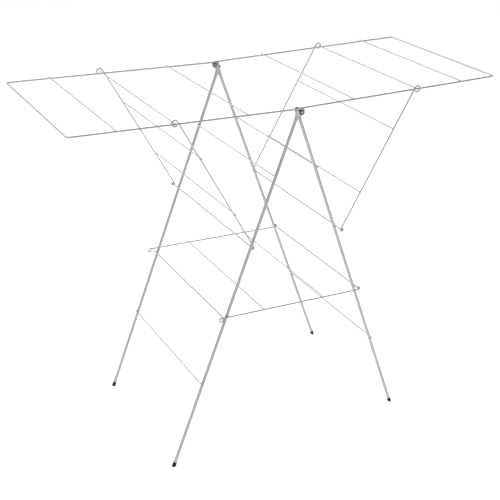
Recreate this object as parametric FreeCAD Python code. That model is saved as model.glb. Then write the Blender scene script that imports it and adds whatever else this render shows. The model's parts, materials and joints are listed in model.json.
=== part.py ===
import FreeCAD, Part
import math
import os

from FreeCAD import Vector

# A folding clothes drying rack of white coated steel wire on tube legs.
# Two leg frames cross at two apex pins and stand as an A.
# A wing hangs on each side of the pins, held up by a strut, and a shelf ties the legs together.
# Millimetres. X runs along the wings, Y across the rack, Z up. The origin is on the floor, under the middle.

# ---------- driving sizes ----------
apex_height = 1079.0        # height of the apex pins' axis
leg_angle = 20.4            # lean of each leg frame from upright, degrees
wing_length = 680.5         # apex axis to the wing's end wire, along the wing
wing_width = 550.0          # between the centre lines of a wing's side wires
wing_tilt = 1.1             # rise of the open wings towards their ends, degrees

# places along a leg, as shares of its length from the apex axis to the floor
upper_rung_share = 0.172
strut_rod_share = 0.3595
shelf_rod_share = 0.5632
lower_rung_share = 0.753

# places along a wing, as shares of its length from the apex axis
inner_rung_share = 0.252
hook_rung_share = 0.570
outer_rung_share = 0.8095

# places of the rungs along a strut and along the shelf, as shares of the span between their two ends' axes
strut_lower_share = 0.268
strut_upper_share = 0.713
shelf_left_share = 0.2745
shelf_right_share = 0.719

# ---------- stock ----------
tube_radius = 5.0
tube_wall = 0.8
frame_wire_radius = 2.5    # wing side and end wires
strut_wire_radius = 2.25
shelf_wire_radius = 2.25
rod_radius = 2.25            # the strut rods and the shelf rods
rung_radius = 1.9
weld_bite = 0.1             # how far a welded rung sinks into what it is welded to

# ---------- clearances ----------
hinge_gap = 0.06            # radial gap round every hinge pin
side_gap = 0.5              # gap between parts that swing past each other
tip_reach = 1.0             # how far a welded rung stands past the wire or tube under it
wing_leg_gap = 0.8          # between a folded wing's inner side wire and the outer tube
tube_gap = 3.0              # between the two tubes that meet at one apex
rod_rest_gap = 0.4          # between the open shelf hook and the rod under it

# ---------- apex hardware ----------
pin_radius = 2.5
bush_wall = 4.2
pin_head_overhang = 1.3
pin_head_height = 1.8
pin_head_fillet = 1.1
flat_thickness = 5.0        # the tube's flattened top, across the rack
flat_spread = 2.5           # how much each edge of the flat stands out past the round tube
flat_length = 14.0          # from the apex axis down to where the flattening starts to fade
flat_fade = 22.0            # length of the change from flat to round
cap_nut_wall = 3.5
cap_nut_height = 3.0

# ---------- ends of the wires ----------
corner_radius = 12.0        # of the wing frame's corners, to the centre line
hook_slack = 4.75           # room between the strut's hook and the rung in it
hook_mouth = 30.0           # how much less than an eye the hook closes, degrees
hook_tail = 4.0
curl_radius = 5.5           # of the shelf's finger curls, to the centre line
curl_offset = 12.0          # from the shelf rod to the middle of the curl
eye_mouth = 2.0             # left open where an eye closes on its own wire, degrees
end_chamfer = 0.5           # on the cut ends of rungs and rods

# ---------- feet ----------
foot_wall = 1.2
foot_length = 14.0          # along the tube, above the floor
foot_sole = 3.0             # between the tube's end and the floor, along the tube

# ---------- worked out ----------
lean = math.radians(leg_angle)
tilt = math.radians(wing_tilt)
down = Vector(-math.sin(lean), 0, -math.cos(lean))      # along the left leg
outward = Vector(-math.cos(lean), 0, math.sin(lean))    # off the left leg's outer face
apex = Vector(0, 0, apex_height)
leg_length = apex_height / math.cos(lean)

bush_radius = pin_radius + bush_wall
pin_head_radius = pin_radius + pin_head_overhang
cap_nut_radius = pin_radius + cap_nut_wall
flat_half_width = tube_radius + flat_spread
hook_radius = rung_radius + hook_slack + strut_wire_radius    # of the strut's top hook, to the centre line

wire_shift = frame_wire_radius + side_gap / 2.0          # the two wings lie side by side at the pins
wing_outer_y = wing_width / 2.0 + wire_shift
wing_inner_y = wing_width / 2.0 - wire_shift
outer_tube_face = wing_inner_y - frame_wire_radius - wing_leg_gap
outer_tube_y = outer_tube_face - tube_radius
inner_tube_y = outer_tube_y - 2.0 * tube_radius - tube_gap
shelf_wire_y = outer_tube_face + side_gap + shelf_wire_radius
hook_rung_tip = wing_outer_y + frame_wire_radius + tip_reach
strut_wire_y = hook_rung_tip + side_gap + strut_wire_radius
strut_rod_tip = strut_wire_y + strut_wire_radius + tip_reach

strut_eye_radius = rod_radius + hinge_gap + strut_wire_radius
shelf_eye_radius = rod_radius + hinge_gap + shelf_wire_radius
wing_eye_radius = bush_radius + hinge_gap + frame_wire_radius
rung_lift = frame_wire_radius + rung_radius - weld_bite   # a rung's centre over a wing wire's centre
leg_rung_lift = tube_radius + rung_radius - weld_bite
leg_rod_lift = tube_radius + rod_radius - weld_bite

os.makedirs("parts", exist_ok=True)


# ---------- helpers ----------
def save(name, shape):
    """Write one piece."""
    shape.exportStep("parts/" + name + ".step")


def half_turn(shape):
    """The same piece on the other side: the rack is alike when turned half a turn about Z."""
    turned = shape.copy()
    turned.rotate(Vector(0, 0, 0), Vector(0, 0, 1), 180)
    return turned


def on_leg(along, off, y):
    """A point of the left leg frame, by its place along the leg and off its outer face."""
    return apex + down * along + outward * off + Vector(0, y, 0)


def bar(start, end, radius):
    """A straight rod with chamfered ends."""
    axis = end - start
    body = Part.makeCylinder(radius, axis.Length, start, axis)
    rims = [edge for edge in body.Edges if isinstance(edge.Curve, Part.Circle)]
    return body.makeChamfer(end_chamfer, rims)


def cross_bar(point, low_y, high_y, radius):
    """A rod straight across the rack through a point of the XZ plane."""
    return bar(Vector(point.x, low_y, point.z), Vector(point.x, high_y, point.z), radius)


def turned(direction, degrees):
    """A direction of the XZ plane turned anticlockwise, as seen from the front."""
    angle = math.radians(degrees)
    x = direction.x * math.cos(angle) - direction.z * math.sin(angle)
    z = direction.x * math.sin(angle) + direction.z * math.cos(angle)
    return Vector(x, 0, z)


def arc_about(centre, start, sweep):
    """An arc in the XZ plane from start, turning by sweep degrees, anticlockwise when positive."""
    spoke = start - centre
    middle = centre + turned(spoke, sweep / 2.0)
    end = centre + turned(spoke, sweep)
    return Part.Arc(start, middle, end).toShape(), end


def swept(edges, radius, y):
    """Round wire along a path of the XZ plane, at its place across the rack."""
    path = Part.Wire(edges)
    first = edges[0]
    ring = Part.makeCircle(radius, first.valueAt(first.FirstParameter), first.tangentAt(first.FirstParameter))
    wire = path.makePipeShell([Part.Wire(ring)], True, False)
    wire.translate(Vector(0, y, 0))
    return wire


def eye_sweep(eye_radius, wire_radius):
    """How far an eye can close before the wire's end meets its own straight run, in degrees."""
    closing = math.degrees(math.acos(1.0 - 2.0 * wire_radius / eye_radius))
    return 360.0 - closing - eye_mouth


# ---------- leg frames ----------
def leg_tube(y):
    """A tube with its top pressed flat and drilled, closed there and open at the foot."""
    round_from = flat_length + flat_fade
    end_at = leg_length - foot_sole
    round_run = Part.makeCylinder(tube_radius, end_at - round_from, on_leg(round_from, 0, y), down)
    fade_top = on_leg(flat_length, 0, y)
    ellipse = Part.Ellipse(fade_top + outward * flat_half_width,
                           fade_top + Vector(0, flat_thickness / 2.0, 0), fade_top)
    flat_ring = Part.Wire(ellipse.toShape())
    round_ring = Part.Wire(Part.makeCircle(tube_radius, on_leg(round_from, 0, y), down))
    fade = Part.makeLoft([flat_ring, round_ring], True, True)
    flat = Part.Face(flat_ring).extrude(down * -(flat_length + flat_half_width))
    round_top = Part.makeCylinder(flat_half_width, 2 * flat_thickness,
                                  on_leg(0, 0, y - flat_thickness), Vector(0, 1, 0))
    below = Part.makeCylinder(2 * flat_half_width, flat_length, on_leg(0, 0, y), down)
    flat = flat.common(round_top.fuse(below))
    tube = round_run.fuse([fade, flat])
    bore = Part.makeCylinder(tube_radius - tube_wall, end_at - round_from, on_leg(round_from, 0, y), down)
    hole = Part.makeCylinder(pin_radius + hinge_gap, 2 * flat_thickness,
                             on_leg(0, 0, y - flat_thickness), Vector(0, 1, 0))
    return tube.cut(bore).cut(hole)


def foot_cap(y):
    """A rubber cap on the tube's end, its sole cut level with the floor."""
    radius = tube_radius + foot_wall
    overrun = 2 * radius
    outside = Part.makeCylinder(radius, foot_length + overrun, on_leg(leg_length - foot_length, 0, y), down)
    socket = Part.makeCylinder(tube_radius, foot_length - foot_sole, on_leg(leg_length - foot_length, 0, y), down)
    reach = foot_length + overrun
    floor = Part.makeBox(2 * reach, 2 * reach, reach)
    floor.translate(on_leg(leg_length, 0, y) - Vector(reach, reach, reach))
    return outside.cut(socket).cut(floor)


def leg_frame(side, place):
    """One leg frame: the left one has its near tube outside and its far tube inside."""
    near_y = -outer_tube_y
    far_y = inner_tube_y
    near = "near" if side == "left" else "far"
    far = "far" if side == "left" else "near"
    save(side + "_leg_tube_" + near, place(leg_tube(near_y)))
    save(side + "_leg_tube_" + far, place(leg_tube(far_y)))
    save(side + "_foot_cap_" + near, place(foot_cap(near_y)))
    save(side + "_foot_cap_" + far, place(foot_cap(far_y)))

    rung_low = near_y - tube_radius - side_gap / 2.0
    rung_high = far_y + tube_radius + tip_reach
    for name, share in (("upper", upper_rung_share), ("lower", lower_rung_share)):
        rung = cross_bar(on_leg(share * leg_length, leg_rung_lift, 0), rung_low, rung_high, rung_radius)
        save(side + "_leg_" + name + "_rung", place(rung))
    strut_rod = cross_bar(strut_foot, -strut_rod_tip, strut_rod_tip, rod_radius)
    save(side + "_strut_rod", place(strut_rod))
    shelf_rod_tip = {"left": shelf_wire_y - shelf_wire_radius - side_gap,
                     "right": shelf_wire_y + shelf_wire_radius + tip_reach}[side]
    shelf_rod = cross_bar(left_rod, -shelf_rod_tip, shelf_rod_tip, rod_radius)
    save(side + "_shelf_rod", place(shelf_rod))


# ---------- wings ----------
def on_wing(along, lift, y):
    """A point of the left wing, by its place along the side wires and over their centre lines."""
    run = Vector(-math.cos(tilt), 0, math.sin(tilt))
    up = Vector(math.sin(tilt), 0, math.cos(tilt))
    return apex + run * along + up * (wing_eye_radius + lift) + Vector(0, y, 0)


def wing_side_wire(y):
    """A side wire, from the corner to the eye that turns on the apex bush."""
    start = on_wing(wing_length - corner_radius, 0, 0)
    top = on_wing(0, 0, 0)
    eye, _ = arc_about(apex, top, -eye_sweep(wing_eye_radius, frame_wire_radius))
    return swept([Part.makeLine(start, top), eye], frame_wire_radius, y)


def wing_end_wire(low_y, high_y):
    """The end wire with the two rounded corners of the wing."""
    bend = corner_radius * (1.0 - math.sqrt(0.5))
    points = [on_wing(wing_length - corner_radius, 0, low_y),
              on_wing(wing_length - bend, 0, low_y + bend),
              on_wing(wing_length, 0, low_y + corner_radius),
              on_wing(wing_length, 0, high_y - corner_radius),
              on_wing(wing_length - bend, 0, high_y - bend),
              on_wing(wing_length - corner_radius, 0, high_y)]
    edges = [Part.Arc(points[0], points[1], points[2]).toShape(),
             Part.makeLine(points[2], points[3]),
             Part.Arc(points[3], points[4], points[5]).toShape()]
    return swept(edges, frame_wire_radius, 0)


def wing(side, place):
    """One wing. The left wing's near wire runs outside the right wing's, and its far wire inside."""
    near_y = -wing_outer_y
    far_y = wing_inner_y
    near = "near" if side == "left" else "far"
    far = "far" if side == "left" else "near"
    save(side + "_wing_side_wire_" + near, place(wing_side_wire(near_y)))
    save(side + "_wing_side_wire_" + far, place(wing_side_wire(far_y)))
    save(side + "_wing_end_wire", place(wing_end_wire(near_y, far_y)))
    reach = frame_wire_radius + tip_reach
    for name, share, low, high in (("inner", inner_rung_share, near_y - reach, far_y + reach),
                                   ("hook", hook_rung_share, -hook_rung_tip, hook_rung_tip),
                                   ("outer", outer_rung_share, near_y - reach, far_y + reach)):
        rung = cross_bar(on_wing(share * wing_length, rung_lift, 0), low, high, rung_radius)
        save(side + "_wing_" + name + "_rung", place(rung))


# ---------- struts ----------
strut_foot = on_leg(strut_rod_share * leg_length, leg_rod_lift, 0)
strut_head = on_wing(hook_rung_share * wing_length, rung_lift, 0)
strut_span = strut_head - strut_foot
# The wire's centre line touches the eye's circle and the hook's circle on their inner sides.
strut_skew = math.asin((hook_radius - strut_eye_radius) / strut_span.Length)
strut_run = turned(Vector(strut_span).normalize(), -math.degrees(strut_skew))
strut_inner = turned(strut_run, -90.0)


def strut_wire(y):
    """A strut's side wire: eye round the strut rod, straight run, open hook round the wing's rung."""
    low = strut_foot + strut_inner * strut_eye_radius
    high = strut_head + strut_inner * hook_radius
    eye_turn = eye_sweep(strut_eye_radius, strut_wire_radius)
    eye_end = strut_foot + turned(low - strut_foot, -eye_turn)
    eye, _ = arc_about(strut_foot, eye_end, eye_turn)
    hook_turn = eye_sweep(hook_radius, strut_wire_radius) - hook_mouth
    hook, hook_end = arc_about(strut_head, high, hook_turn)
    tail_run = turned(strut_run, hook_turn)
    tail = Part.makeLine(hook_end, hook_end + tail_run * hook_tail)
    return swept([eye, Part.makeLine(low, high), hook, tail], strut_wire_radius, y)


def strut(side, place):
    """One strut: two side wires joined by two rungs on their inner faces."""
    near = "near" if side == "left" else "far"
    far = "far" if side == "left" else "near"
    save(side + "_strut_wire_" + near, place(strut_wire(-strut_wire_y)))
    save(side + "_strut_wire_" + far, place(strut_wire(strut_wire_y)))
    lift = strut_eye_radius + strut_wire_radius + rung_radius - weld_bite
    reach = strut_wire_y + strut_wire_radius + tip_reach
    for name, share in (("lower", strut_lower_share), ("upper", strut_upper_share)):
        centre = strut_foot + strut_run * share * strut_span.Length + strut_inner * lift
        save(side + "_strut_" + name + "_rung", place(cross_bar(centre, -reach, reach, rung_radius)))


# ---------- shelf ----------
left_rod = on_leg(shelf_rod_share * leg_length, leg_rod_lift, 0)
right_rod = Vector(-left_rod.x, 0, left_rod.z)
saddle_lift = rod_radius + rod_rest_gap + shelf_wire_radius
rod_span = right_rod.x - left_rod.x
# The wire passes over the left rod and under the right rod, so it falls a little to the right.
shelf_slope = math.degrees(math.asin((saddle_lift + shelf_eye_radius) / rod_span))
shelf_run = turned(Vector(1, 0, 0), -shelf_slope)
shelf_up = turned(shelf_run, 90.0)


def shelf_wire(y):
    """A shelf side wire: finger curl, run over the left rod, eye round the right rod."""
    curl_top = left_rod + shelf_up * saddle_lift - shelf_run * curl_offset
    curl_centre = curl_top - shelf_up * curl_radius
    curl_turn = eye_sweep(curl_radius, shelf_wire_radius)
    curl_end = curl_centre + turned(curl_top - curl_centre, curl_turn)
    curl, _ = arc_about(curl_centre, curl_end, -curl_turn)
    eye_low = right_rod - shelf_up * shelf_eye_radius
    eye, _ = arc_about(right_rod, eye_low, eye_sweep(shelf_eye_radius, shelf_wire_radius))
    return swept([curl, Part.makeLine(curl_top, eye_low), eye], shelf_wire_radius, y)


def shelf():
    """The shelf: two side wires joined by two rungs on top."""
    save("shelf_wire_near", shelf_wire(-shelf_wire_y))
    save("shelf_wire_far", shelf_wire(shelf_wire_y))
    lift = saddle_lift + shelf_wire_radius + rung_radius - weld_bite
    reach = shelf_wire_y + shelf_wire_radius + tip_reach
    for name, share in (("left", shelf_left_share), ("right", shelf_right_share)):
        centre = left_rod + shelf_run * share * rod_span + shelf_up * lift
        save("shelf_" + name + "_rung", cross_bar(centre, -reach, reach, rung_radius))


# ---------- apex pins ----------
def ring_at(inner_y, outer_y, inner_radius, outer_radius):
    """A plain ring round the near apex axis, between two distances from the middle."""
    base = apex - Vector(0, outer_y, 0)
    height = outer_y - inner_y
    outside = Part.makeCylinder(outer_radius, height, base, Vector(0, 1, 0))
    inside = Part.makeCylinder(inner_radius, height, base, Vector(0, 1, 0))
    return outside.cut(inside)


def apex_set(where, place):
    """The pin and its rings: bush in the wing eyes, spacer between the tubes, cap nut inside."""
    end_play = side_gap / 2.0
    bush_low = outer_tube_y + flat_thickness / 2.0 + end_play
    bush_high = wing_outer_y + frame_wire_radius + end_play
    spacer_low = inner_tube_y + flat_thickness / 2.0 + end_play
    spacer_high = outer_tube_y - flat_thickness / 2.0 - end_play
    nut_high = inner_tube_y - flat_thickness / 2.0 - end_play
    nut_low = nut_high - cap_nut_height
    shank = Part.makeCylinder(pin_radius, bush_high - nut_low, apex - Vector(0, bush_high, 0), Vector(0, 1, 0))
    head = Part.makeCylinder(pin_head_radius, pin_head_height,
                             apex - Vector(0, bush_high + pin_head_height, 0), Vector(0, 1, 0))
    rim = min(head.Edges, key=lambda edge: edge.BoundBox.YMax)
    head = head.makeFillet(pin_head_fillet, [rim])
    save("apex_pin_" + where, place(shank.fuse(head).removeSplitter()))
    save("apex_bush_" + where, place(ring_at(bush_low, bush_high, pin_radius, bush_radius)))
    save("apex_spacer_" + where, place(ring_at(spacer_low, spacer_high, pin_radius, flat_half_width - side_gap)))
    save("apex_cap_nut_" + where, place(ring_at(nut_low, nut_high, pin_radius, cap_nut_radius)))


def stay(shape):
    """Leave a piece where it was made."""
    return shape


for side, place in (("left", stay), ("right", half_turn)):
    leg_frame(side, place)
    wing(side, place)
    strut(side, place)
shelf()
apex_set("near", stay)
apex_set("far", half_turn)
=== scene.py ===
# %% [markdown]
# # A folding clothes drying rack
# The rack is steel wire and tube under a white powder coat, on four black rubber feet.
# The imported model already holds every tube, wire and rung at its true size. This lesson gives those
# parts their finishes, models the small things that make them look made rather than drawn (moulded feet,
# weld beads, push-on cap nuts), and then sets up the floor, the light and the camera.

# %% Load the frame
import bpy
import json
import math
from mathutils import Matrix, Vector


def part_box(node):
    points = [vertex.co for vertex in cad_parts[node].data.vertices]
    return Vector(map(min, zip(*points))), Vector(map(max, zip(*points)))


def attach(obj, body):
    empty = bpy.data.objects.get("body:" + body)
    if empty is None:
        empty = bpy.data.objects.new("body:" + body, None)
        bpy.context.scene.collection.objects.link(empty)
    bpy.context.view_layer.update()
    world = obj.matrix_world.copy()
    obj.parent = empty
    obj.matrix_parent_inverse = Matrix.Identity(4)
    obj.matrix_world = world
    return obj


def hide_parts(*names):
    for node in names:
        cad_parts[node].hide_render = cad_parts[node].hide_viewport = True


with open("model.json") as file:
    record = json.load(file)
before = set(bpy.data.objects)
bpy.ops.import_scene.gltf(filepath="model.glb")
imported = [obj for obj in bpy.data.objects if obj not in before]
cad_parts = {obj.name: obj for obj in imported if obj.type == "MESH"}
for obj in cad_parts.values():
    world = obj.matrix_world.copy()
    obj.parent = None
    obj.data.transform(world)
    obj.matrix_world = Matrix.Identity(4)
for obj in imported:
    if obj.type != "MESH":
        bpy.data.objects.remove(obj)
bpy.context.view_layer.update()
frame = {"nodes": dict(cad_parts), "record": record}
record = frame["record"]

# %% [markdown]
# ## Which body a piece rides on
# A new piece has to swing with the part that it sits on. The record lists the nodes of each body, so a
# small lookup from node to body saves writing the names out again for every piece.

# %% Node to body
node_body = {node: body for body, nodes in record["behaviour"]["bodies"].items() for node in nodes}
mm = 0.001


def middle(node):
    """The middle of a node's box at rest."""
    low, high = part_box(node)
    return (Vector(low) + Vector(high)) / 2


def half_size(node):
    """Half the size of a node's box at rest."""
    low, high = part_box(node)
    return (Vector(high) - Vector(low)) / 2


# %% [markdown]
# ## Writing a shader as sums
# A finish is a small calculation: some noise, some arithmetic, a colour and a roughness. Node trees hide
# that calculation behind wiring, so a class wraps one socket and lets Python's operators add Math nodes.
# Any other kind of node comes from one method, which takes its settings first and then its inputs.

# %% A socket with operators
class Value:
    def __init__(self, tree, socket):
        self.tree = tree
        self.socket = socket

    def node(self, kind, output=0, settings=None, **inputs):
        """Any node: its type, its settings, and values or links for its sockets."""
        made = self.tree.nodes.new(kind)
        for name, value in (settings or {}).items():
            setattr(made, name, value)
        for name, value in inputs.items():
            key = int(name[1:]) if name[0] == "s" and name[1:].isdigit() else name.replace("_", " ")
            if isinstance(value, Value):
                self.tree.links.new(value.socket, made.inputs[key])
            else:
                made.inputs[key].default_value = value
        return Value(self.tree, made.outputs[output])

    def math(self, operation, *others):
        inputs = {f"s{place}": other for place, other in enumerate(others)}
        return self.node("ShaderNodeMath", settings={"operation": operation}, **inputs)

    def __add__(self, other):
        return self.math("ADD", self, other)

    def __mul__(self, other):
        return self.math("MULTIPLY", self, other)

    def __sub__(self, other):
        return self.math("SUBTRACT", self, other)

    def __rsub__(self, other):
        return self.math("SUBTRACT", other, self)

    __radd__ = __add__

    def clamped(self):
        return self.math("MINIMUM", self.math("MAXIMUM", self, 0.0), 1.0)

    def stretched(self, low, high):
        """0 at low, 1 at high, and straight between."""
        return ((self - low) * (1.0 / (high - low))).clamped()


def blend_colours(factor, dark, light):
    """A colour between two, by a factor."""
    mix = factor.tree.nodes.new("ShaderNodeMix")
    mix.data_type = "RGBA"
    factor.tree.links.new(factor.socket, mix.inputs["Factor"])
    for name, colour in (("A", dark), ("B", light)):
        socket = [s for s in mix.inputs if s.name == name and s.type == "RGBA"][0]
        if isinstance(colour, Value):
            factor.tree.links.new(colour.socket, socket)
        else:
            socket.default_value = (*colour, 1.0)
    return Value(factor.tree, [s for s in mix.outputs if s.type == "RGBA"][0])


def new_material(name):
    """An empty Principled material, with its shader and a handle on its object coordinates."""
    material = bpy.data.materials.new(name)
    material.use_nodes = True
    tree = material.node_tree
    shader = tree.nodes["Principled BSDF"]
    coordinates = tree.nodes.new("ShaderNodeTexCoord")
    return material, shader, Value(tree, coordinates.outputs["Object"])


def feed(shader, **values):
    """Link or set the shader's sockets."""
    for name, value in values.items():
        socket = shader.inputs[name.replace("_", " ")]
        if isinstance(value, Value):
            value.tree.links.new(value.socket, socket)
        else:
            socket.default_value = value


def noise(place, per_metre, detail=2.0, roughness=0.5):
    """Soft noise with so many lumps to the metre."""
    return place.node("ShaderNodeTexNoise", Vector=place, Scale=per_metre, Detail=detail, Roughness=roughness)


def bumped(height, strength, distance):
    """A normal from a height."""
    return height.node("ShaderNodeBump", Height=height, Strength=strength, Distance=distance)


# %% [markdown]
# ## White powder coat
# Powder coat is sprayed on dry and baked. It flows into a thick glossy skin with a faint orange peel, a
# millimetre or so across, and it is thinner and duller where it pulled away from edges. A plain white
# would look like paper, so the colour drifts by a few percent over a hand's width, specks of dust sit in
# the coat here and there, and the roughness follows the peel. The floor is lit until it is pure white, so
# the coat's own white is set well under that, or the thin wires would vanish against it.

# %% White powder coat
def powder_coat():
    material, shader, place = new_material("white_powder_coat")
    drift = noise(place, 9.0, 3.0)
    peel = noise(place, 900.0, 2.0, 0.6)
    specks = noise(place, 420.0, 1.0).stretched(0.74, 0.80)
    clean = blend_colours(drift.stretched(0.35, 0.65), (0.52, 0.525, 0.54), (0.60, 0.60, 0.61))
    colour = blend_colours(specks * 0.5, clean, (0.45, 0.44, 0.43))
    feed(shader, Base_Color=colour, Roughness=0.30 + peel * 0.12 + specks * 0.2,
         Coat_Weight=0.35, Coat_Roughness=0.12, IOR=1.5)
    feed(shader, Normal=bumped(peel, 0.25, 0.15 * mm))
    return material


# %% [markdown]
# ## Black rubber
# The feet are moulded rubber. It is matt and nearly black, greyer where it has scuffed on the floor, with
# a fine grain from the mould. The scuffing is strongest in the last few millimetres over the floor, so
# it follows the height as well as the noise.

# %% Black rubber
def foot_rubber():
    material, shader, place = new_material("black_rubber")
    height = place.node("ShaderNodeSeparateXYZ", output=2, Vector=place)
    scuff = noise(place, 350.0, 4.0, 0.7).stretched(0.42, 0.72) * (1.0 - height.stretched(0.0, 5.0 * mm))
    grain = noise(place, 2600.0, 2.0)
    feed(shader, Base_Color=blend_colours(scuff, (0.012, 0.012, 0.013), (0.09, 0.088, 0.085)),
         Roughness=0.62 + grain * 0.15 + scuff * 0.15, Specular_IOR_Level=0.35)
    feed(shader, Normal=bumped(grain, 0.35, 0.12 * mm))
    return material


# %% [markdown]
# ## Dark nylon, its darkness painted shade
# The bushes in the wing eyes are dark nylon, slightly waxy and a little worn where the wires turn on them.
# Their near-black is painted shade, standing in for the shadow inside each eye round the pin.

# %% Dark nylon, painted shade in the eyes
def pivot_nylon():
    material, shader, place = new_material("nylon_painted_shade")
    wear = noise(place, 600.0, 3.0).stretched(0.45, 0.75)
    # The near-black base colour is painted shade for the inside of the wing eyes, lightened in random patches
    # of wear.
    feed(shader, Base_Color=blend_colours(wear, (0.018, 0.018, 0.020), (0.060, 0.060, 0.064)),
         Roughness=0.42 + wear * 0.2)
    feed(shader, Normal=bumped(wear, 0.2, 0.1 * mm))
    return material


# %% [markdown]
# ## Zinc plate
# The cap nuts are pressed from sheet steel and zinc plated. Zinc has a cool, cloudy shine with darker
# patches where it has begun to dull, and fine scratches run round it.

# %% Zinc plate
def zinc_plate():
    material, shader, place = new_material("zinc_plate")
    cloud = noise(place, 260.0, 4.0, 0.6)
    scratch = noise(place, 3200.0, 2.0)
    feed(shader, Base_Color=blend_colours(cloud.stretched(0.35, 0.7), (0.48, 0.49, 0.52), (0.68, 0.69, 0.71)),
         Metallic=1.0, Roughness=0.24 + cloud * 0.2 + scratch * 0.08)
    feed(shader, Normal=bumped(scratch, 0.12, 0.05 * mm))
    return material


# %% Give the CAD nodes their finishes
finishes = {"white_coat": powder_coat(), "foot_rubber": foot_rubber(),
            "pivot_nylon": pivot_nylon(), "cap_nut_steel": zinc_plate()}
node_slot = {part["node"]: part["material_slot"] for part in record["subparts"]}
for node, shown in frame["nodes"].items():
    for place in shown.material_slots:
        place.material = finishes[node_slot[node]]
print("finishes", {slot: sum(1 for s in node_slot.values() if s == slot) for slot in finishes})


# %% [markdown]
# ## Working in edit mode from code
# Modelling operators act on whatever is selected, so every piece starts with nothing selected, and faces
# are then picked by where they are or which way they face. These helpers do the picking.

# %% Picking faces and edges
def clear_selection():
    if bpy.context.mode != "OBJECT":
        bpy.ops.object.mode_set(mode="OBJECT")
    bpy.ops.object.select_all(action="DESELECT")


def pick_faces(test):
    """Enter edit mode with only the faces selected that pass the test on their middle and normal."""
    piece = bpy.context.object
    bpy.ops.object.mode_set(mode="EDIT")
    bpy.ops.mesh.select_mode(type="FACE")
    bpy.ops.mesh.select_all(action="DESELECT")
    bpy.ops.object.mode_set(mode="OBJECT")
    for face in piece.data.polygons:
        face.select = bool(test(face.center, face.normal))
    bpy.ops.object.mode_set(mode="EDIT")


def pick_edges(test):
    """The same for edges, by their two ends."""
    piece = bpy.context.object
    bpy.ops.object.mode_set(mode="EDIT")
    bpy.ops.mesh.select_mode(type="EDGE")
    bpy.ops.mesh.select_all(action="DESELECT")
    bpy.ops.object.mode_set(mode="OBJECT")
    points = piece.data.vertices
    for edge in piece.data.edges:
        edge.select = bool(test(points[edge.vertices[0]].co, points[edge.vertices[1]].co))
    bpy.ops.object.mode_set(mode="EDIT")


def finish_piece(piece, name, body, slot, replaced=()):
    """Smooth shading, a name, a finish and a body."""
    clear_selection()
    bpy.context.view_layer.objects.active = piece
    piece.select_set(True)
    bpy.ops.object.shade_smooth_by_angle(angle=math.radians(35))
    piece.name = name
    piece.data.name = name
    piece.data.materials.clear()
    piece.data.materials.append(finishes[slot])
    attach(piece, body)
    if replaced:
        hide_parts(*replaced)
    piece.select_set(False)


def placed_copy(pattern, matrix):
    """A copy with its own mesh, moved in the mesh so that the object stays at the origin."""
    copy = pattern.copy()
    copy.data = pattern.data.copy()
    bpy.context.collection.objects.link(copy)
    copy.data.transform(matrix)
    copy.data.update()
    return copy


def joined(pieces):
    """Several objects as one mesh."""
    clear_selection()
    for piece in pieces:
        piece.select_set(True)
    bpy.context.view_layer.objects.active = pieces[0]
    bpy.ops.object.join()
    return bpy.context.object


# %% [markdown]
# ## A moulded foot
# Each leg ends in a push-on rubber cap. A real one has a thicker lip round its mouth, so that it can be
# pulled on without tearing, a shallow groove under the lip, and a sole cut level with the floor. It could
# be spun from a profile, but pulling a cylinder's rings in and out shows better how the mould was cut. The
# cap is modelled upright at the origin, turned to the leg's lean, and cut off level at the floor.

# %% Where a foot sits
apex_height = record["behaviour"]["joints"][0]["pos_m"][2]
foot_mounts = {mount["name"]: Vector(mount["pos_m"]) for mount in record["mounts"]}
lean = math.atan2(abs(foot_mounts["left_near_foot"].x), apex_height)
foot_radius = half_size("left_foot_cap_near").y
tube_radius = half_size("left_leg_tube_near").y
foot_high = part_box("left_foot_cap_near")[1][2]
foot_length = (foot_high - foot_radius * math.sin(lean)) / math.cos(lean)
print("lean of the legs", round(math.degrees(lean), 2), "foot mm", round(foot_radius / mm, 2),
      round(foot_length / mm, 2))

# %% [markdown]
# ## The cap as a stack of rings
# Every turned shape here is made the same way: a low cylinder, then its top face is extruded a step up and
# scaled, again and again. A table of steps says how far each ring rises, in millimetres, and how its radius
# changes. The last steps go inwards and down, which makes the mouth that the tube stands in. The cylinder
# starts far enough under the floor that the leaning cut can't miss any of it.

# %% One foot cap
cap_sides = 40
body_share = 0.985           # the cap's body, against its lip
groove_share = 0.955         # the bottom of the groove, against the body
lip_run = 5.2 * mm           # from the groove to the mouth's edge
mouth_gap = 0.08 * mm        # round the tube
rounding = 0.955             # the lip's rounded top edge
mouth_share = 0.93           # the mouth's edge, against that
spare = 0.5 * mm


def new_cylinder(radius, low, high, sides):
    """An upright cylinder on the Z axis between two heights, in the mesh of an object at the origin."""
    clear_selection()
    bpy.ops.mesh.primitive_cylinder_add(vertices=sides, radius=radius, depth=high - low,
                                        location=(0, 0, 0), enter_editmode=False)
    piece = bpy.context.object
    piece.data.transform(Matrix.Translation((0, 0, (low + high) / 2)))
    return piece


def stacked(piece, steps):
    """Extrude the top face by each step's rise in millimetres, scaling the new ring about the axis."""
    pick_faces(lambda centre, normal: normal.z > 0.9)
    for rise, scale in steps:
        bpy.ops.mesh.extrude_region_move(TRANSFORM_OT_translate={"value": (0, 0, rise * mm)})
        bpy.ops.transform.resize(value=(scale, scale, 1.0), center_override=(0, 0, 0))
    bpy.ops.object.mode_set(mode="OBJECT")
    return piece


def foot_cap():
    """A cap on the Z axis, its lip at the top, reaching down past the floor."""
    bottom = -2.4 * foot_radius * math.tan(lean) - spare
    mouth_scale = (tube_radius + mouth_gap) / (foot_radius * rounding * mouth_share)
    steps = [(0.35, groove_share), (0.9, 1.0), (0.45, 1.0 / (body_share * groove_share)), (2.3, 1.0),
             (0.7, rounding), (0.35, mouth_share), (0.0, mouth_scale), (-3.0, 1.0)]
    return stacked(new_cylinder(foot_radius * body_share, bottom, foot_length - lip_run, cap_sides), steps)


print("foot cap rings", cap_sides, "sides")

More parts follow.
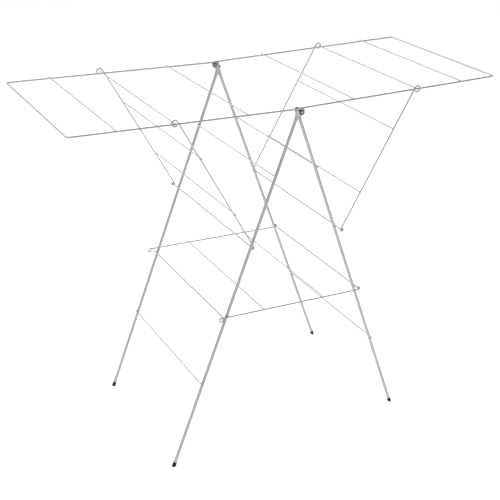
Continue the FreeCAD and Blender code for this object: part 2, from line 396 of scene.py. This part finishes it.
# %% [markdown]
# ## Cutting the sole level
# A leg leans, so a cap that followed it would stand on one edge. The real sole is moulded at the leg's
# angle. The cap is turned to its leg, cut by a level plane just over the floor and closed again, and then
# a shallow recess is pressed up into the sole, so that it stands on its rim.

# %% Four feet
sole_gap = 0.02 * mm         # between the sole and the floor
sole_rim = 1.4 * mm          # the width of the rim that stands
sole_recess = 0.6 * mm       # how deep the sole is pressed in
merge_distance = 0.002 * mm


def tilted_to_floor(cap, side):
    """Lean the cap with its leg and cut it level, leaving a closed sole."""
    cap.data.transform(Matrix.Rotation(lean * side, 4, "Y"))
    clear_selection()
    bpy.context.view_layer.objects.active = cap
    cap.select_set(True)
    bpy.ops.object.mode_set(mode="EDIT")
    bpy.ops.mesh.select_all(action="SELECT")
    bpy.ops.mesh.bisect(plane_co=(0, 0, sole_gap), plane_no=(0, 0, 1), use_fill=True, clear_inner=True)
    bpy.ops.mesh.select_all(action="SELECT")
    bpy.ops.mesh.remove_doubles(threshold=merge_distance)
    bpy.ops.mesh.normals_make_consistent(inside=False)
    bpy.ops.object.mode_set(mode="OBJECT")
    pick_faces(lambda centre, normal: normal.z < -0.95)
    bpy.ops.mesh.inset(thickness=sole_rim, depth=0.0)
    bpy.ops.mesh.extrude_region_move(TRANSFORM_OT_translate={"value": (0, 0, sole_recess)})
    bpy.ops.object.mode_set(mode="OBJECT")
    return cap


def discard(piece):
    """Delete a pattern that has been copied."""
    clear_selection()
    piece.select_set(True)
    bpy.ops.object.delete()


pattern = foot_cap()
for mount, place in foot_mounts.items():
    side_name, where, _ = mount.split("_")
    side = 1 if side_name == "left" else -1
    cap = tilted_to_floor(placed_copy(pattern, Matrix.Identity(4)), side)
    cap.data.transform(Matrix.Translation(place))
    node = f"{side_name}_foot_cap_{where}"
    finish_piece(cap, f"moulded_foot_{side_name}_{where}", node_body[node], "foot_rubber", (node,))
    print(cap.name, "faces", len(cap.data.polygons), "at", tuple(round(v, 3) for v in place))
discard(pattern)

# %% [markdown]
# ## Weld beads
# Every rung is laid across two wires or tubes and spot welded, so a small collar of upset metal stands in
# the crotch of each crossing, rounded over by the powder coat. One collar is a short waisted column,
# widest where it wets the two bars. It is made by pulling out the rings of a low cylinder. Forty are
# needed, so it has few faces, and the collars of one body are joined into one piece.

# %% Where the welds are
def rails(pattern):
    """How far across the rack the near and the far rail of a pair lie."""
    return [middle(pattern + where).y for where in ("near", "far")]


weld_places = {}
for side, turn in (("left", 1), ("right", -1)):
    leg_inward = Vector((turn * math.cos(lean), 0, -math.sin(lean)))
    leg_bars = ("leg_upper_rung", "strut_rod", "shelf_rod", "leg_lower_rung")
    weld_places[side + "_leg_frame"] = [(middle(f"{side}_{bar}"), y, leg_inward)
                                        for bar in leg_bars for y in rails(side + "_leg_tube_")]
    weld_places[side + "_wing"] = [(middle(f"{side}_wing_{rung}_rung"), y, Vector((0, 0, -1)))
                                   for rung in ("inner", "hook", "outer")
                                   for y in rails(side + "_wing_side_wire_")]
    run = (middle(side + "_strut_upper_rung") - middle(side + "_strut_lower_rung")).normalized()
    strut_outward = Vector((-turn * run.z, 0, turn * run.x))
    weld_places[side + "_strut"] = [(middle(f"{side}_strut_{rung}_rung"), y, strut_outward)
                                    for rung in ("lower", "upper") for y in rails(side + "_strut_wire_")]
weld_places["shelf"] = [(middle(f"shelf_{rung}_rung"), y, Vector((0, 0, -1)))
                        for rung in ("left", "right") for y in rails("shelf_wire_")]
print("welds", {body: len(places) for body, places in weld_places.items()})

# %% [markdown]
# ## The collar
# The collar is the same kind of stack as the foot, only with few sides: wide where it wets the rail,
# waisted in the middle, wide again where it wets the rung. A weld is never quite even, so its rings are
# then moved about by a few hundredths of a millimetre, from a fixed seed.

# %% One weld collar
collar_sides = 14
collar_radius = 1.9 * mm
collar_low, collar_first = -1.1 * mm, -0.6 * mm
unevenness = 0.05 * mm
rung_radius = half_size("left_wing_outer_rung").x
collar = stacked(new_cylinder(collar_radius, collar_low, collar_first, collar_sides),
                 [(0.4, 0.80), (0.3, 0.93), (0.4, 1.10), (0.4, 1.16)])
pick_faces(lambda centre, normal: abs(normal.z) < 0.9)
bpy.ops.transform.vertex_random(offset=unevenness, uniform=1.0, seed=4)
bpy.ops.object.mode_set(mode="OBJECT")
print("collar faces", len(collar.data.polygons))

# %% [markdown]
# ## One collar at each crossing
# The collar's axis runs from the rung to the rail, and its middle is where the two surfaces meet, sunk a
# little so that no gap shows. The collars of a body are joined, since they never move apart.

# %% A collar at every crossing
sink = 0.05 * mm
for body, places in weld_places.items():
    beads = []
    for bar_middle, rail_y, toward in places:
        contact = Vector((bar_middle.x, rail_y, bar_middle.z)) + toward * (rung_radius - sink)
        turned_to = Vector((0, 0, -1)).rotation_difference(toward).to_matrix().to_4x4()
        beads.append(placed_copy(collar, Matrix.Translation(contact) @ turned_to))
    welds = joined(beads)
    finish_piece(welds, "welds_" + body, body, "white_coat")
    print(welds.name, "faces", len(welds.data.polygons))
discard(collar)

# %% [markdown]
# ## Push-on caps
# The inner end of each apex pin is held by a pressed steel cap that is pushed on with a mallet: a flat
# flange against the tube, a short cone, and a rolled rim that grips the pin. The plain ring in the packed
# model only keeps its room, so the cap takes its place, inside the same box.

# %% One push-on cap
nut_half = half_size("apex_cap_nut_near")
nut_height = 2 * nut_half.y
flange_share = 0.99          # of the room in the box
flange_height = 0.6 * mm
edge_bevel = 0.12 * mm
cap_bottom = -nut_height / 2
push_on = stacked(new_cylinder(nut_half.x * flange_share, cap_bottom, cap_bottom + flange_height, 36),
                  [(0.15, 0.96), (0.10, 0.86), (1.25, 0.86), (0.45, 0.95), (0.15, 0.90), (-0.10, 0.93),
                   (-1.6, 0.90)])
flange_top = cap_bottom + 0.65 * mm
flange_inside = nut_half.x * 0.95
level = 1e-7
pick_edges(lambda one, two: abs(one.z - two.z) < level and one.z < flange_top
           and min(one.xy.length, two.xy.length) > flange_inside)
bpy.ops.mesh.bevel(offset=edge_bevel, segments=2, affect="EDGES")
bpy.ops.object.mode_set(mode="OBJECT")
for where, turn in (("near", -1), ("far", 1)):
    node = "apex_cap_nut_" + where
    place = Matrix.Translation(middle(node)) @ Matrix.Rotation(turn * math.pi / 2, 4, "X")
    cap = placed_copy(push_on, place)
    finish_piece(cap, "push_on_cap_" + where, node_body[node], "cap_nut_steel", (node,))
    print(cap.name, "faces", len(cap.data.polygons))
discard(push_on)

# %% [markdown]
# ## Floor
# The rack stands on a plain pale floor that runs out of view on every side. A floor of one flat white
# would show no contact, so its white drifts very slightly, and it is matt enough to take soft shadows.

# %% Floor
floor_material, floor_shader, floor_place = new_material("pale_floor")
floor_drift = noise(floor_place, 1.5, 2.0)
floor_white = blend_colours(floor_drift, (0.90, 0.90, 0.90), (0.93, 0.93, 0.93))
feed(floor_shader, Base_Color=floor_white, Roughness=0.75 + floor_drift * 0.1, Specular_IOR_Level=0.1,
     Emission_Color=floor_white, Emission_Strength=0.88)
floor_size = 400.0
floor_drop = 0.5 * mm
clear_selection()
bpy.ops.mesh.primitive_plane_add(size=floor_size, location=(0, 0, 0))
floor = bpy.context.object
floor.name = "floor"
floor.data.transform(Matrix.Translation((0, 0, -floor_drop)))
floor.data.materials.append(floor_material)
print("floor", tuple(round(v, 1) for v in floor.dimensions))

# %% [markdown]
# ## Light
# A studio shot of a white rack on white needs light from everywhere, or the wires vanish on one side and
# go black on the other. The world gives an even base, a large soft box high at the back gives the wires
# a bright top edge, and a weak one at the front left keeps their near sides from going black.

# %% World and soft boxes
world = bpy.data.worlds.new("studio")
world.use_nodes = True
background = world.node_tree.nodes["Background"]
background.inputs["Color"].default_value = (1.0, 1.0, 1.0, 1.0)
background.inputs["Strength"].default_value = 0.20
bpy.context.scene.world = world
# The plain transform lets the lit floor reach white.
bpy.context.scene.view_settings.view_transform = "Standard"


def soft_box(name, place, target, width, watts):
    """A square area light aimed at a point."""
    data = bpy.data.lights.new(name, "AREA")
    data.shape = "SQUARE"
    data.size = width
    data.energy = watts
    lamp = bpy.data.objects.new(name, data)
    bpy.context.collection.objects.link(lamp)
    aim = (Vector(target) - Vector(place)).to_track_quat("-Z", "Y").to_matrix().to_4x4()
    lamp.matrix_world = Matrix.Translation(place) @ aim
    return lamp


soft_box("key", (-0.8, 2.6, 3.6), (0, 0, 0.9), 2.2, 90.0)
soft_box("fill", (-3.0, -1.6, 2.4), (0, 0, 0.7), 1.8, 14.0)

# %% [markdown]
# ## Camera
# The camera stands about three metres out in front and to the left, a little above eye height, and looks
# down at the rack through a fairly long lens, so that the wings hardly converge.

# %% Camera
lens_data = bpy.data.cameras.new("camera")
lens_data.sensor_width = 36.0
lens_data.lens = 76.35
lens_data.clip_end = 500.0
camera = bpy.data.objects.new("camera", lens_data)
bpy.context.collection.objects.link(camera)
right = Vector((0.88752, -0.46057, 0.01346)).normalized()
forward = Vector((0.42310, 0.80305, -0.41963)).normalized()
up = right.cross(forward)
turn = Matrix((right, up, -forward)).transposed().to_4x4()
camera.matrix_world = Matrix.Translation((-1.4492, -2.7329, 1.9690)) @ turn
bpy.context.scene.camera = camera
print("camera", tuple(round(v, 3) for v in camera.location))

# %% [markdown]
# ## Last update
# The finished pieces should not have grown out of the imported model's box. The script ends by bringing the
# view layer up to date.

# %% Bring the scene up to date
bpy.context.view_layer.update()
